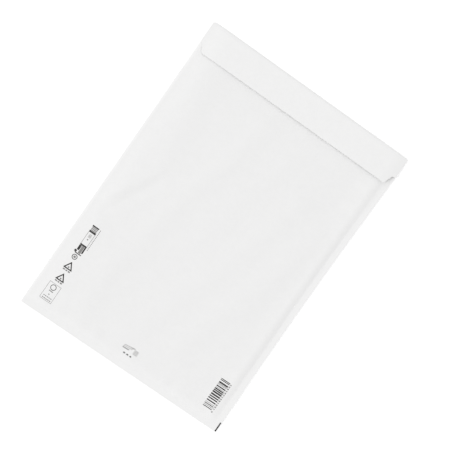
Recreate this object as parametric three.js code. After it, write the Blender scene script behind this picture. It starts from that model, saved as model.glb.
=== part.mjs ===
// A padded postal envelope: a white paper pocket lined with bubble film, its flap folded over the front.
// It lies flat on its back with the flap side up, in millimetres. X runs across it, from the folded side
// to the seam, Y runs up to the flap's crease, and Z is up. The origin is under the middle of the part.

import * as THREE from 'three';
import { mergeVertices } from 'three/addons/utils/BufferGeometryUtils.js';

// Outside sizes
const width = 320; // folded side to seam edge
const length = 455; // bottom edge to the outside of the flap's crease
const seamWidth = 10; // flat heat-sealed strip down the seam side
const weldWidth = 9; // flat heat-sealed strip along the bottom
const stripLift = 1.5; // height of the strips above the table

// Sheets
const paperThickness = 0.25;
const filmThickness = 0.15;
const bubbleHeight = 3.4;
const valleyHeight = 1; // above the backing film, where neighbouring bubbles meet
const bubblePitch = 16;
const sealClearance = 0.2; // paper to film in the strips
const linerClearance = 0.4; // paper to the tops of the bubbles
const mouthSeal = 0.9; // width of sealed film beside the pocket's corner at the mouth

// Padding
const pocketAir = 1.4; // between the two layers of film, all over
const crownAir = 1.6; // more of it in the middle of the pocket
const padRise = 13; // width over which the padding first comes up beside a strip
const sealPinch = 0.55; // share of the padding's height still lost there
const sealRun = 52; // width over which it fills out and the back panel comes down from the strips
const foldRadius = 4.5; // of the folded side, seen from above at the crease's corner
const foldPinch = 0.45; // share of the padding's height lost at the folded side
const foldRun = 26; // width over which it comes back
const mouthPinch = 0.22; // share of the padding's height lost at the mouth
const mouthRun = 45; // length over which it comes back

// Flap
const flapDepth = 45; // crease to free edge
const creaseRadius = 5; // seen from the side
const shoulderDepth = 29; // crease to where the flap's ends start to narrow
const shoulderNotch = 4.3; // step cut into the seam end at the shoulder
const notchRun = 1.2; // how far down the flap that step takes
const seamEndTaper = 9.3; // how far the seam end of the free edge stands in
const foldEndTaper = 8; // how far the other end stands in, before its corner
const cornerRadius = 4.5; // of that corner
const creaseStandoff = 1.3; // flap to front panel at the crease
const edgeStandoff = 2.4; // flap to front panel at the free edge
const edgeLiftRun = 60; // length over which the free edge lifts off at the folded side
const flapDroop = 2.2; // how far the flap bends down over the seam strip

// Closing strip, under the flap
const tapeThickness = 0.25;
const tapeWidth = 14;
const tapeFromEdge = 9; // free edge to adhesive
const tapeInset = 16; // each end of the flap to the end of the adhesive
const linerPaperThickness = 0.12; // release strip
const releaseMargin = 3.5; // release strip beyond the adhesive, on every side
const stripGap = 0.2; // between flap, adhesive and release strip

// Facets
const arcSteps = 6; // in a half turn of paper
const filmArcSteps = 4; // in a half turn of film
const riseSteps = 4; // across the first rise of the padding
const sealSteps = 3; // from there to its full height
const foldSteps = 3; // beside the folded side
const panelSteps = 3; // across the rest of a panel
const mouthSteps = 2; // along the panel beside the mouth
const panelRows = 3; // along the rest of it
const flapRows = 2; // between the crease and the shoulder
const cornerSteps = 2; // round the flap's corner
const bubbleEvery = 3; // points of the film's grid to each bubble
const pocketEvery = 5; // columns and rows of the grid to each facet of the smooth pocket
const pocketFineSteps = 3; // columns and rows beside the welds that keep the grid's size
const pocketEndStep = 2; // the same beside the fold and where the padding fills out
const mergeDistance = 1e-3; // points closer than this are one

// Lines that follow from the sizes
const right = width / 2;
const left = -width / 2;
const top = length / 2;
const bottom = -length / 2;
const seamLine = right - seamWidth;
const weldLine = bottom + weldWidth;
const foldLine = left + foldRadius;
const mouth = top - creaseRadius;
const fullPadX = seamLine - padRise;
const fullPadY = weldLine + padRise;
const fullFoldX = foldLine + foldRun;
const flatX = seamLine - sealRun;
const flatY = weldLine + sealRun;

const clamp01 = (t) => THREE.MathUtils.clamp(t, 0, 1);
const smooth = (t) => THREE.MathUtils.smoothstep(t, 0, 1);
const rise = (t) => Math.sin((clamp01(t) * Math.PI) / 2);
const pinch = (share, distance, run) => 1 - share * (1 - smooth(distance / run));

// Share of its full height that the padding has at a point: none in the strips, less at fold and mouth
function padding(x, y) {
  const besideSeam = rise((seamLine - x) / padRise);
  const besideWeld = rise((y - weldLine) / padRise);
  const atSeals = pinch(sealPinch, seamLine - x, sealRun) * pinch(sealPinch, y - weldLine, sealRun);
  const atFold = pinch(foldPinch, x - foldLine, foldRun);
  const atMouth = pinch(mouthPinch, mouth - y, mouthRun);
  return besideSeam * besideWeld * atSeals * atFold * atMouth;
}

// Heights of every layer at a point, from the outside of the back panel to the outside of the front
function layers(x, y) {
  const pad = padding(x, y);
  const flat = smooth((seamLine - x) / sealRun) * smooth((y - weldLine) / sealRun);
  const crown = Math.max(0, Math.cos((Math.PI * x) / width) * Math.cos((Math.PI * y) / length));
  const bubble = filmThickness + bubbleHeight * pad;
  const valley = filmThickness + valleyHeight * pad;
  const backOuter = stripLift * (1 - flat);
  const backInner = backOuter + paperThickness;
  const clearance = THREE.MathUtils.lerp(sealClearance, linerClearance, rise(2 * pad));
  const backBubbles = backInner + clearance;
  const pocketFloor = backBubbles + bubble;
  const backValleys = pocketFloor - valley;
  const pocketRoof = pocketFloor + (pocketAir + crownAir * crown) * pad;
  const frontValleys = pocketRoof + valley;
  const frontBubbles = pocketRoof + bubble;
  const frontInner = frontBubbles + clearance;
  const frontOuter = frontInner + paperThickness;
  return {
    backOuter, backInner, backBubbles, backValleys, pocketFloor,
    pocketRoof, frontValleys, frontBubbles, frontInner, frontOuter,
  };
}

const lerpSteps = (from, to, steps) =>
  Array.from({ length: steps }, (_, i) => THREE.MathUtils.lerp(from, to, (i + 1) / steps));

// Places across a panel, from the seam edge to the fold, closer together where the padding rises
const panelX = [
  right,
  seamLine,
  ...lerpSteps(seamLine, fullPadX, riseSteps),
  ...lerpSteps(fullPadX, flatX, sealSteps),
  ...lerpSteps(flatX, fullFoldX, panelSteps),
  ...lerpSteps(fullFoldX, foldLine, foldSteps),
];

// Places along the envelope, from the mouth to the bottom
const panelY = [
  mouth,
  ...lerpSteps(mouth, mouth - mouthRun, mouthSteps),
  ...lerpSteps(mouth - mouthRun, flatY, panelRows),
  ...lerpSteps(flatY, fullPadY, sealSteps),
  ...lerpSteps(fullPadY, weldLine, riseSteps),
  bottom,
];

// One half turn round the folded side, from a lower height to an upper one, ends left out
function foldArc(lower, upper, reach, y, steps) {
  const middle = (lower + upper) / 2;
  const half = (upper - lower) / 2;
  return Array.from({ length: steps - 1 }, (_, i) => {
    const angle = (Math.PI * (i + 1)) / steps;
    return new THREE.Vector3(foldLine - reach * Math.sin(angle), y, middle - half * Math.cos(angle));
  });
}

// Geometry of a closed body from triangles, each three points that turn the same way round it
function closedBody(triangles) {
  const points = triangles.flat();
  const geometry = new THREE.BufferGeometry().setFromPoints(points);
  const merged = mergeVertices(geometry, mergeDistance);
  const volume = triangles.reduce((sum, [a, b, c]) => sum + a.dot(b.clone().cross(c)), 0);
  if (volume < 0) merged.index.array.reverse();
  merged.computeVertexNormals();
  return merged;
}

// Sheet of paper, as rows of places that each hold the point on its outer and on its inner face
class Sheet {
  constructor() {
    this.triangles = [];
    this.edges = new Map();
    this.places = 0;
  }

  place(outer, inner) {
    this.places += 1;
    return { id: this.places, outer, inner };
  }

  addRows(rows) {
    for (let j = 0; j + 1 < rows.length; j += 1) {
      for (let i = 0; i + 1 < rows[j].length; i += 1) {
        this.addFace(rows[j][i], rows[j + 1][i], rows[j + 1][i + 1]);
        this.addFace(rows[j][i], rows[j + 1][i + 1], rows[j][i + 1]);
      }
    }
  }

  addFace(a, b, c) {
    this.triangles.push([a.outer, b.outer, c.outer], [a.inner, c.inner, b.inner]);
    for (const [from, to] of [[a, b], [b, c], [c, a]]) {
      const twin = `${to.id} ${from.id}`;
      if (!this.edges.delete(twin)) this.edges.set(`${from.id} ${to.id}`, [from, to]);
    }
  }

  // Closes the cut edges and gives the finished geometry
  geometry() {
    const rims = [];
    for (const [from, to] of this.edges.values()) {
      rims.push([to.outer, from.outer, from.inner], [to.outer, from.inner, to.inner]);
    }
    return closedBody([...this.triangles, ...rims]);
  }
}

// Height of the flap's under side, at a distance down from the outside of the crease
function flapUnder(x, depth) {
  const restX = THREE.MathUtils.clamp(x, foldLine, fullPadX);
  const down = (depth - creaseRadius) / (flapDepth - creaseRadius);
  const lift = (edgeStandoff - creaseStandoff) * down * smooth((x - left) / edgeLiftRun);
  const overSeam = clamp01((x - fullPadX) / (right - fullPadX));
  return layers(restX, top - depth).frontOuter + creaseStandoff + lift - flapDroop * overSeam ** 2;
}

// Places across the flap between its two ends, the same as in the panels away from them
function flapPlaces(from, to) {
  return panelX.map((x) => {
    if (x > fullPadX) return THREE.MathUtils.mapLinear(x, fullPadX, right, fullPadX, to);
    if (x < fullFoldX) return THREE.MathUtils.mapLinear(x, fullFoldX, foldLine, fullFoldX, from);
    return x;
  });
}

// Outline of the flap below the crease: the place of both ends at a number of depths
function flapOutline() {
  const tipDepth = flapDepth - cornerRadius;
  const foldEnd = left + foldEndTaper;
  const taperAt = (depth, from, to) => {
    const share = (depth - shoulderDepth - notchRun) / (flapDepth - shoulderDepth - notchRun);
    return THREE.MathUtils.lerp(from, to, share);
  };
  const seamAt = (depth) => taperAt(depth, right - shoulderNotch, right - seamEndTaper);
  const foldAt = (depth) => THREE.MathUtils.mapLinear(depth, shoulderDepth, tipDepth, left, foldEnd);
  const rows = lerpSteps(creaseRadius, shoulderDepth, flapRows)
    .map((depth) => ({ depth, from: left, to: right }));
  const notched = shoulderDepth + notchRun;
  rows.push({ depth: notched, from: foldAt(notched), to: seamAt(notched) });
  for (let i = 0; i <= cornerSteps; i += 1) {
    const angle = (Math.PI / 2) * (i / cornerSteps);
    const depth = tipDepth + cornerRadius * Math.sin(angle);
    rows.push({ depth, from: foldEnd + cornerRadius * (1 - Math.cos(angle)), to: seamAt(depth) });
  }
  return rows;
}

// The paper: back panel, folded side and front panel in one run, then the crease and the flap
function paperEnvelope() {
  const sheet = new Sheet();
  const panels = panelY.map((y) => {
    const back = panelX.map((x) => {
      const at = layers(x, y);
      return sheet.place(new THREE.Vector3(x, y, at.backOuter), new THREE.Vector3(x, y, at.backInner));
    });
    const front = panelX.map((x) => {
      const at = layers(x, y);
      return sheet.place(new THREE.Vector3(x, y, at.frontOuter), new THREE.Vector3(x, y, at.frontInner));
    });
    const fold = layers(foldLine, y);
    const outside = foldArc(fold.backOuter, fold.frontOuter, foldRadius, y, arcSteps);
    const inside = foldArc(fold.backInner, fold.frontInner, foldRadius - paperThickness, y, arcSteps);
    const turn = outside.map((point, i) => sheet.place(point, inside[i]));
    return [...back, ...turn, ...front.reverse()];
  });
  sheet.addRows(panels);

  // The flap starts from the back panel's top edge, so it shares those places
  const root = panels[0].slice(0, panelX.length);
  const crease = lerpSteps(-Math.PI / 2, Math.PI / 2, arcSteps).map((angle) => {
    const from = left + foldRadius * (1 - Math.max(0, Math.sin(angle)));
    return flapPlaces(from, right).map((x) => {
      const start = layers(x, mouth).backOuter;
      const end = flapUnder(x, creaseRadius) + paperThickness;
      const middle = (start + end) / 2;
      const face = (inset) => new THREE.Vector3(
        x,
        mouth + (creaseRadius - inset) * Math.cos(angle),
        middle + ((end - start) / 2 - inset) * Math.sin(angle),
      );
      return sheet.place(face(0), face(paperThickness));
    });
  });
  const flap = flapOutline().map(({ depth, from, to }) =>
    flapPlaces(from, to).map((x) => {
      const under = flapUnder(x, depth);
      return sheet.place(
        new THREE.Vector3(x, top - depth, under + paperThickness),
        new THREE.Vector3(x, top - depth, under),
      );
    }));
  sheet.addRows([...[root, ...crease, ...flap]].reverse());
  return sheet.geometry();
}

// Order of two distances round the film. Equal ones split a facet alike above and below the pocket.
const comesFirst = (a, b) => a < b || (a === b && a > width);

// Triangles between two rows of points, the first one nearer the mouth, in order of their distance round
function bridge(a, b) {
  const triangles = [];
  let i = 0;
  let j = 0;
  while (i + 1 < a.length || j + 1 < b.length) {
    if (j + 1 === b.length || (i + 1 < a.length && comesFirst(a[i + 1].round, b[j + 1].round))) {
      triangles.push([a[i].point, b[j].point, a[i + 1].point]);
      i += 1;
    } else {
      triangles.push([a[i].point, b[j].point, b[j + 1].point]);
      j += 1;
    }
  }
  return triangles;
}

// One row round the film, from its seam edge under the pocket, round the fold and back over it.
// places lists x from the seam to the fold, and lower and upper give the heights there.
function filmRow(places, y, lower, upper, reach) {
  const under = places.map((x, i) => ({ round: right - x, point: new THREE.Vector3(x, y, lower(x, i)) }));
  const over = places.map((x, i) => ({
    round: 2 * (width + foldRadius) - (right - x),
    point: new THREE.Vector3(x, y, upper(x, i)),
  }));
  const turn = foldArc(lower(foldLine), upper(foldLine), reach, y, filmArcSteps).map((point, i) => ({
    round: width + (i * foldRadius) / filmArcSteps,
    point,
  }));
  return [...under, ...turn, ...over.reverse()];
}

// The padding: a folded sheet of bubble film, smooth towards the pocket and bubbled towards the paper
function bubbleLiner() {
  const filmReach = foldRadius - paperThickness - linerClearance;

  // Bubbles stand on every third point of a grid of triangles, which sets them on a honeycomb
  const columns = Math.round((seamLine - foldLine) / (bubblePitch / Math.sqrt(3)));
  const rowCount = Math.round((mouth - weldLine) / (bubblePitch / 2));
  const column = (seamLine - foldLine) / columns;
  const rows = [];
  for (let j = 0; j <= rowCount; j += 1) {
    const y = THREE.MathUtils.lerp(mouth, weldLine, j / rowCount);
    const odd = j % 2;
    const inner = Array.from({ length: odd ? columns : columns - 1 }, (_, k) => k + (odd ? 0.5 : 1));
    const strip = j === 0 ? [right, seamLine + mouthSeal, seamLine] : [right, seamLine];
    const places = [...strip, ...inner.map((k) => seamLine - k * column), foldLine];
    const open = j > 0 && j < rowCount;
    const isBubble = (i) => open && i >= strip.length && i < places.length - 1
      && (i - strip.length) % bubbleEvery === (odd ? bubbleEvery - 1 : 0);
    const lower = (x, i) => (isBubble(i) ? layers(x, y).backBubbles : layers(x, y).backValleys);
    const upper = (x, i) => (isBubble(i) ? layers(x, y).frontBubbles : layers(x, y).frontValleys);
    rows.push(filmRow(places, y, lower, upper, filmReach));
  }
  const hem = filmRow(
    [right, seamLine, foldLine],
    bottom,
    (x) => layers(x, bottom).backValleys,
    (x) => layers(x, bottom).frontValleys,
    filmReach,
  );
  rows.push(hem);

  // Pocket faces, coarser because the film is smooth there, but as fine as the bubbles beside the welds
  const fillingSteps = Math.round(sealRun / column);
  const isKept = (k, count) => k < pocketFineSteps || count - k === pocketEndStep || k === count
    || k % (k < fillingSteps ? pocketEndStep : pocketEvery) === 0;
  const coarse = (count) => Array.from({ length: count + 1 }, (_, k) => k).filter((k) => isKept(k, count));
  const pocketX = coarse(columns).map((k) => seamLine - k * column);
  const pocketRows = coarse(rowCount).reverse().map((k) => {
    const y = THREE.MathUtils.lerp(weldLine, mouth, k / rowCount);
    return filmRow(
      pocketX,
      y,
      (x) => layers(x, y).pocketFloor,
      (x) => layers(x, y).pocketRoof,
      filmReach - filmThickness - valleyHeight,
    );
  });

  const triangles = [];
  const close = (row) => [...row, { ...row[0], round: Infinity }];
  for (let j = 0; j + 1 < rows.length; j += 1) {
    triangles.push(...bridge(close(rows[j]), close(rows[j + 1])));
  }
  for (let j = 0; j + 1 < pocketRows.length; j += 1) {
    triangles.push(...bridge(pocketRows[j], pocketRows[j + 1]).map((corners) => corners.reverse()));
  }

  // Cut edge at the mouth: across the sealed strip, then all round the open pocket
  const rim = rows[0];
  const mouthRow = pocketRows[0];
  const at = (k) => rim.at(k).point;
  const weld = mouthRow[0].point;
  triangles.push([at(0), at(1), at(-2)], [at(0), at(-2), at(-1)], [at(1), weld, at(-2)]);
  triangles.push(...bridge(mouthRow, rim.slice(1, -1)));

  // Cut edge at the bottom, where the two layers are one
  for (let k = 0; k < (hem.length - 1) / 2; k += 1) {
    const [a, b, c, d] = [k + 1, k, hem.length - 1 - k, hem.length - 2 - k].map((i) => hem[i].point);
    triangles.push([a, b, c]);
    if (a !== d) triangles.push([a, c, d]);
  }
  return closedBody(triangles);
}

// A flat strip that follows the flap's under side, from one depth to another
function stripUnderFlap(inset, fromDepth, toDepth, gapAbove, thickness) {
  const sheet = new Sheet();
  const from = left + inset;
  const to = right - inset;
  const places = [to, ...panelX.filter((x) => x > from && x < to), from];
  const rows = [fromDepth, (fromDepth + toDepth) / 2, toDepth].map((depth) =>
    places.map((x) => {
      const upper = flapUnder(x, depth) - gapAbove;
      return sheet.place(
        new THREE.Vector3(x, top - depth, upper),
        new THREE.Vector3(x, top - depth, upper - thickness),
      );
    }));
  sheet.addRows(rows);
  return sheet.geometry();
}

const tapeTo = flapDepth - tapeFromEdge;
const tapeFrom = tapeTo - tapeWidth;

const adhesive = stripUnderFlap(tapeInset, tapeFrom, tapeTo, stripGap, tapeThickness);
const release = stripUnderFlap(
  tapeInset - releaseMargin,
  tapeFrom - releaseMargin,
  tapeTo + releaseMargin,
  2 * stripGap + tapeThickness,
  linerPaperThickness,
);

function addPiece(group, name, geometry, material) {
  const mesh = new THREE.Mesh(geometry, new THREE.MeshStandardMaterial({ metalness: 0, ...material }));
  mesh.name = name;
  group.add(mesh);
}

const envelope = new THREE.Group();
envelope.name = 'padded_envelope';
addPiece(envelope, 'paper_envelope', paperEnvelope(), { color: '#f1f0ee', roughness: 0.85 });
addPiece(envelope, 'bubble_liner', bubbleLiner(), {
  color: '#e6ecee', roughness: 0.3, transparent: true, opacity: 0.6,
});
addPiece(envelope, 'adhesive_strip', adhesive, { color: '#efe3bd', roughness: 0.35 });
addPiece(envelope, 'release_strip', release, { color: '#f6f4ea', roughness: 0.45 });

export default envelope;
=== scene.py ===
"""A white padded postal envelope, lying flat with its flap folded over the front.

The paper blank, the bubble film inside it, the closing strip under the flap and the printed marks are
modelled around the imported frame. All lengths are in metres, X runs from the folded side to the seam,
Y from the bottom to the flap's crease, and Z up.
"""

from __future__ import annotations

import logging
import math
from dataclasses import dataclass, field
from enum import Enum
from typing import Any

import bpy
import numpy as np
from mathutils import Matrix, Vector

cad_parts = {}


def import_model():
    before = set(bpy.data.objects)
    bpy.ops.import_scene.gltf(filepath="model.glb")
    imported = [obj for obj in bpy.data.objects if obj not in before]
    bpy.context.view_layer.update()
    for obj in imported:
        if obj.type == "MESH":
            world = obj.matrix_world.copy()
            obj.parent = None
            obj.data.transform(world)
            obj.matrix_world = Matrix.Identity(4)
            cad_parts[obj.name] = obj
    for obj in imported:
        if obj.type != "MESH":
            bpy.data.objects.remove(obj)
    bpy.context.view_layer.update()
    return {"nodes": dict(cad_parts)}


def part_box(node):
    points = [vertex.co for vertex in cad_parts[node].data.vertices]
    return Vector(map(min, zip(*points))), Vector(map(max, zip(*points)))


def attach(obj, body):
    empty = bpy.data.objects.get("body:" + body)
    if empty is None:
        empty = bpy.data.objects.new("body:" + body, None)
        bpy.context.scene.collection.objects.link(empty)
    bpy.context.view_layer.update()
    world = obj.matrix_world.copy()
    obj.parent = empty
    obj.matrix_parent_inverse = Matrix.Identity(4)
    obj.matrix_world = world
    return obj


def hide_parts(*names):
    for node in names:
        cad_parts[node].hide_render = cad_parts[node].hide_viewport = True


log = logging.getLogger("padded_envelope")

MM = 0.001
SMOOTH_ANGLE = math.radians(38)
NOISE_ROUGHNESS = 0.55
Array = np.ndarray


class Slot(Enum):
    """Material slots of the record that the new pieces stand for; nothing in the script reads them."""

    PAPER = "white_kraft_paper"
    FILM = "bubble_film"
    GLUE = "hot_melt"
    RELEASE = "silicone_paper"


def smooth(t: Array | float) -> Array:
    """Eases from 0 to 1 as t runs from 0 to 1, and stays there outside."""
    t = np.clip(t, 0.0, 1.0)
    return t * t * (3.0 - 2.0 * t)


def rise(t: Array | float) -> Array:
    """Rises like a quarter of a sine from 0 to 1 as t runs from 0 to 1."""
    return np.sin(np.clip(t, 0.0, 1.0) * math.pi / 2.0)


def waves(place: Array, pitch: float, parts: tuple[tuple[float, float, float], ...]) -> Array:
    """Adds up sine waves.

    Args:
        place: Places along the waves.
        pitch: Length of a wave with a rate of 1.
        parts: Each wave's height, rate and shift.

    Returns:
        The sum at each place.
    """
    turn = 2 * math.pi / pitch
    return sum(height * np.sin(place * turn * rate + shift) for height, rate, shift in parts)


def pinch(share: float, distance: Array, run: float) -> Array:
    """Takes a share off at an edge and gives it back over a run of that length."""
    return 1 - share * (1 - smooth(distance / run))


@dataclass(frozen=True)
class SoftFold:
    """A long shallow swelling or dent in the front panel, as the paper takes from handling."""

    points: tuple[tuple[float, float], ...]
    height: float
    spread: float

    def lift(self, x: Array, y: Array) -> Array:
        """Gives how far the fold lifts the panel.

        Args:
            x: Places across the envelope.
            y: Places along it.

        Returns:
            The lift at each place, negative in a dent.
        """
        nearest = np.full(np.broadcast(x, y).shape, np.inf)
        for (x0, y0), (x1, y1) in zip(self.points, self.points[1:]):
            run_x, run_y = x1 - x0, y1 - y0
            along = ((x - x0) * run_x + (y - y0) * run_y) / (run_x**2 + run_y**2)
            along = np.clip(along, 0.0, 1.0)
            gap = np.hypot(x - x0 - along * run_x, y - y0 - along * run_y)
            nearest = np.minimum(nearest, gap)
        return self.height * np.exp(-0.5 * (nearest / self.spread) ** 2)


def fold_mm(height: float, spread: float, *points: tuple[float, float]) -> SoftFold:
    """Makes a soft fold from sizes in millimetres.

    Args:
        height: Height of the fold, negative for a dent.
        spread: How wide it is, as the spread of a bell curve.
        *points: Places that its crest runs through.

    Returns:
        The fold, in metres.
    """
    return SoftFold(tuple((x * MM, y * MM) for x, y in points), height * MM, spread * MM)


SOFT_FOLDS = (
    fold_mm(1.7, 12, (-122, 185), (-118, 110), (-110, 40)),
    fold_mm(2.0, 12, (-24, 150), (-38, 80), (-62, 9), (-72, -66), (-86, -123), (-82, -195)),
    fold_mm(1.6, 13, (76, 90), (46, -9), (27, -66), (7, -123), (-17, -185)),
    fold_mm(2.0, 14, (120, 60), (98, -19), (72, -90), (52, -150)),
    fold_mm(0.9, 13, (34, 150), (4, 60), (-10, -30)),
    fold_mm(-1.3, 5.2, (-100, 8), (-116, -22), (-136, -61)),
    fold_mm(1.3, 5.5, (-107, 22), (-126, -12), (-143, -44)),
    fold_mm(-1.0, 15, (112, 170), (104, 120), (88, 70)),
    fold_mm(1.0, 15, (-98, -110), (-106, -160), (-102, -205)),
    fold_mm(-1.0, 17, (84, -160), (112, -185)),
)


@dataclass(frozen=True)
class EnvelopeForm:
    """Outside form of the padded envelope and the heights of the layers in it.

    The width and the length come from the frame. The sizes down to flap_droop are those that the frame
    was built from, except that seal_pinch, edge_standoff and flap_droop were moved a little towards the
    photograph. The rest are soft forms that the frame doesn't have.
    """

    width: float
    length: float
    seam_width: float = 10 * MM
    weld_width: float = 9 * MM
    strip_lift: float = 1.5 * MM
    paper: float = 0.25 * MM
    film: float = 0.15 * MM
    bubble_height: float = 3.4 * MM
    seal_clearance: float = 0.2 * MM
    liner_clearance: float = 0.4 * MM
    pocket_air: float = 1.4 * MM
    crown_air: float = 1.6 * MM
    pad_rise: float = 13 * MM
    seal_pinch: float = 0.47
    seal_run: float = 52 * MM
    fold_radius: float = 4.5 * MM
    fold_pinch: float = 0.45
    fold_run: float = 26 * MM
    mouth_pinch: float = 0.22
    mouth_run: float = 45 * MM
    flap_depth: float = 45 * MM
    crease_radius: float = 5 * MM
    crease_standoff: float = 1.3 * MM
    edge_standoff: float = 1.8 * MM
    edge_lift_run: float = 60 * MM
    flap_droop: float = 4.6 * MM
    fold_end_droop: float = 0.9 * MM
    fold_end_run: float = 14 * MM
    seam_pull: float = 2.5 * MM
    strip_draw: float = 0.9 * MM
    strip_draw_start: float = 85 * MM
    strip_draw_run: float = 75 * MM
    strip_draw_width: float = 30 * MM
    settle: float = 0.6 * MM
    pucker: float = 0.22 * MM
    pucker_pitch: float = 31 * MM
    calm_share: float = 0.35
    calm_run: float = 38 * MM

    @property
    def right(self) -> float:
        """Seam edge."""
        return self.width / 2

    @property
    def left(self) -> float:
        """Folded side."""
        return -self.width / 2

    @property
    def top(self) -> float:
        """Outside of the flap's crease."""
        return self.length / 2

    @property
    def bottom(self) -> float:
        """Bottom edge."""
        return -self.length / 2

    @property
    def seam_line(self) -> float:
        """Inner edge of the seam strip."""
        return self.right - self.seam_width

    @property
    def weld_line(self) -> float:
        """Inner edge of the bottom strip."""
        return self.bottom + self.weld_width

    @property
    def fold_line(self) -> float:
        """Where the flat of the back panel starts to turn up at the folded side."""
        return self.left + self.fold_radius

    @property
    def mouth(self) -> float:
        """Edge of the front panel under the flap."""
        return self.top - self.crease_radius

    @property
    def full_pad_x(self) -> float:
        """Where the padding reaches its full height beside the seam."""
        return self.seam_line - self.pad_rise

    def drawn(self, x: Array, y: Array) -> Array:
        """Narrows the seam strip towards the flap, where the padding spreads into it.

        Args:
            x: Places across the envelope.
            y: Places along it.

        Returns:
            The places across an envelope with an even strip that have the same heights.
        """
        beside = smooth((x - self.seam_line + 2 * self.strip_draw_width) / self.strip_draw_width)
        near_flap = smooth((y - self.strip_draw_start) / self.strip_draw_run)
        return x - self.strip_draw * beside * near_flap

    def padding(self, x: Array, y: Array) -> Array:
        """Gives the share of its full height that the padding has at each place."""
        beside_seam = rise((self.seam_line - x) / self.pad_rise)
        beside_weld = rise((y - self.weld_line) / self.pad_rise)
        at_seam = pinch(self.seal_pinch, self.seam_line - x, self.seal_run)
        at_weld = pinch(self.seal_pinch, y - self.weld_line, self.seal_run)
        at_fold = pinch(self.fold_pinch, x - self.fold_line, self.fold_run)
        at_mouth = pinch(self.mouth_pinch, self.mouth - y, self.mouth_run)
        return beside_seam * beside_weld * at_seam * at_weld * at_fold * at_mouth

    def ripple(self, x: Array, y: Array) -> Array:
        """Gives the front panel's soft folds and the puckers beside its strips.

        Args:
            x: Places across the envelope.
            y: Places along it.

        Returns:
            The lift of the front panel at each place.
        """
        folds = sum(fold.lift(x, y) for fold in SOFT_FOLDS) - self.settle
        reach = smooth((self.seam_line - x) / self.calm_run)
        reach = reach * smooth((y - self.weld_line) / self.calm_run)
        reach = reach * smooth((x - self.fold_line) / (self.fold_run / 2))
        under_flap = smooth((self.top - self.flap_depth - y) / self.calm_run)
        calm = self.calm_share + (1 - self.calm_share) * under_flap
        near_seam = np.exp(-(((self.seam_line - self.pad_rise - x) / self.pad_rise) ** 2))
        near_weld = np.exp(-(((y - self.weld_line - self.pad_rise) / self.pad_rise) ** 2))
        wave_y = waves(y, self.pucker_pitch, ((1.0, 1.0, 0.0), (0.6, 1.73, 1.1)))
        wave_x = waves(x, self.pucker_pitch, ((1.0, 1.1, 0.7), (0.6, 1.61, 0.0)))
        pad = rise((self.seam_line - x) / self.pad_rise) * rise((y - self.weld_line) / self.pad_rise)
        puckers = self.pucker * pad * (near_seam * wave_y + near_weld * wave_x)
        return (folds * reach + puckers) * calm

    def heights(self, x: Array, y: Array) -> dict[str, Array]:
        """Gives the height of each layer, from the outside of the back to the outside of the front.

        Args:
            x: Places across the envelope.
            y: Places along it.

        Returns:
            The heights by the layer's name.
        """
        x = self.drawn(x, y)
        pad = self.padding(x, y)
        flat = smooth((self.seam_line - x) / self.seal_run)
        flat = flat * smooth((y - self.weld_line) / self.seal_run)
        crown = np.maximum(0.0, np.cos(math.pi * x / self.width) * np.cos(math.pi * y / self.length))
        clearance = self.seal_clearance + (self.liner_clearance - self.seal_clearance) * rise(2 * pad)
        bubble = self.film + self.bubble_height * pad
        back = self.strip_lift * (1 - flat)
        floor = back + self.paper + clearance + bubble
        roof = floor + (self.pocket_air + self.crown_air * crown) * pad + self.ripple(x, y)
        front = roof + bubble + clearance + self.paper
        return {"back": back, "floor": floor, "roof": roof, "front": front}

    def front(self, x: Array, y: Array) -> Array:
        """Gives the height of the front panel's outside."""
        return self.heights(x, y)["front"]

    def pulled(self, x: Array, y: Array) -> Array:
        """Draws the seam strip in at mid length, where the padding is fullest.

        Args:
            x: Places across the flat envelope.
            y: Places along it.

        Returns:
            The places across it once the padding has drawn the strip in.
        """
        share = smooth((x - self.full_pad_x) / (self.right - self.full_pad_x))
        bow = np.clip(1 - (y / self.top) ** 2, 0.0, 1.0) ** 1.5
        return x - self.seam_pull * share * bow

    def flap_under(self, x: Array, depth: Array) -> Array:
        """Gives the height of the flap's under side.

        Args:
            x: Places across the flap.
            depth: Distances down from the outside of the crease.

        Returns:
            The height at each place.
        """
        rest_x = np.clip(x, self.fold_line, self.full_pad_x)
        y = self.top - depth
        calm = self.heights(rest_x, y)["front"] - self.ripple(rest_x, y)
        down = (depth - self.crease_radius) / (self.flap_depth - self.crease_radius)
        gain = (self.edge_standoff - self.crease_standoff) * down
        lift = gain * smooth((x - self.left) / self.edge_lift_run)
        over_seam = np.clip((x - self.full_pad_x) / (self.right - self.full_pad_x), 0.0, 1.0)
        by_fold = np.clip((self.fold_line + self.fold_end_run - x) / self.fold_end_run, 0.0, 1.0)
        droop = self.flap_droop * over_seam**2 + self.fold_end_droop * by_fold**2
        return calm + self.crease_standoff + lift - droop


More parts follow.
